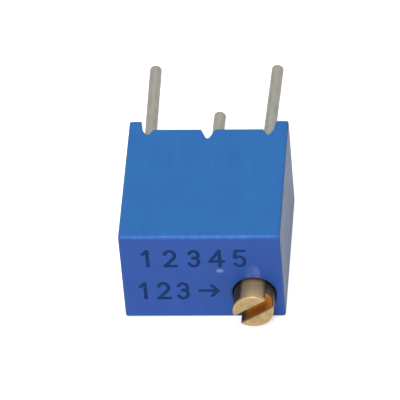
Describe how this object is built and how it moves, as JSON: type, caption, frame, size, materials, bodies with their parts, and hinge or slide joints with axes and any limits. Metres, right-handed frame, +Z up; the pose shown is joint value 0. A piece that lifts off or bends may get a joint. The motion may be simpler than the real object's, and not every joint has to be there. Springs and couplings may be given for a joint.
{
  "type": "trimmer potentiometer",
  "caption": "Small square sealed multi-turn trimmer potentiometer with a slotted brass adjusting screw and staggered round pins.",
  "frame": {"origin": "centre of the case's underside, the broad face it lies on, halfway between its front face and its stand-off feet", "axes": "+Y the way the pins point, -Y out of the front face with the adjusting screw, +X to the side that the screw is on, +Z up through the thickness"},
  "size_m": [0.0066, 0.0125, 0.0046],
  "materials": {
    "blue_plastic": "smooth moulded, satin to gloss",
    "screw_brass": "turned, slightly dull",
    "seal_rubber": "smooth black rubber",
    "retainer_steel": "stamped spring steel",
    "rotor_plastic": "natural moulded plastic",
    "contact_alloy": "bright spring alloy",
    "alumina": "fine matt white ceramic",
    "cermet_film": "dark printed film",
    "conductor_film": "dull printed silver film",
    "tinned_wire": "dull tinned",
    "solder": "bright solder",
    "inner_plastic": "moulded, matt",
    "epoxy": "cast epoxy, slightly glossy"
  },
  "bodies": {
    "case": {"housing": "blue_plastic", "screw_retainer": "retainer_steel", "ceramic_plate": "alumina", "resistive_track": "cermet_film", "collector_track": "conductor_film", "end_pad_1": "conductor_film", "end_pad_3": "conductor_film", "pin_1": "tinned_wire", "pin_2": "tinned_wire", "pin_3": "tinned_wire", "solder_1": "solder", "solder_2": "solder", "solder_3": "solder", "inner_plate": "inner_plastic", "epoxy_seal": "epoxy"},
    "screw": {"adjusting_screw": "screw_brass", "o_ring": "seal_rubber"},
    "rotor": {"rotor_gear": "rotor_plastic", "wiper": "contact_alloy"}
  },
  "joints": [
    {"name": "screw_turn", "type": "hinge", "parent": "case", "child": "screw", "pos_m": [0.00211, -0.0035, 0.0013], "axis": [0, 1, 0], "range_deg": [-2160, 2160]},
    {"name": "rotor_turn", "type": "hinge", "parent": "case", "child": "rotor", "pos_m": [-0.00014, -0.0006, 0.0013], "axis": [0, 0, 1], "range_deg": [-144, 144]}
  ],
  "couplings": [
    {"joint": "rotor_turn", "follows": "screw_turn", "ratio": -0.066667}
  ]
}
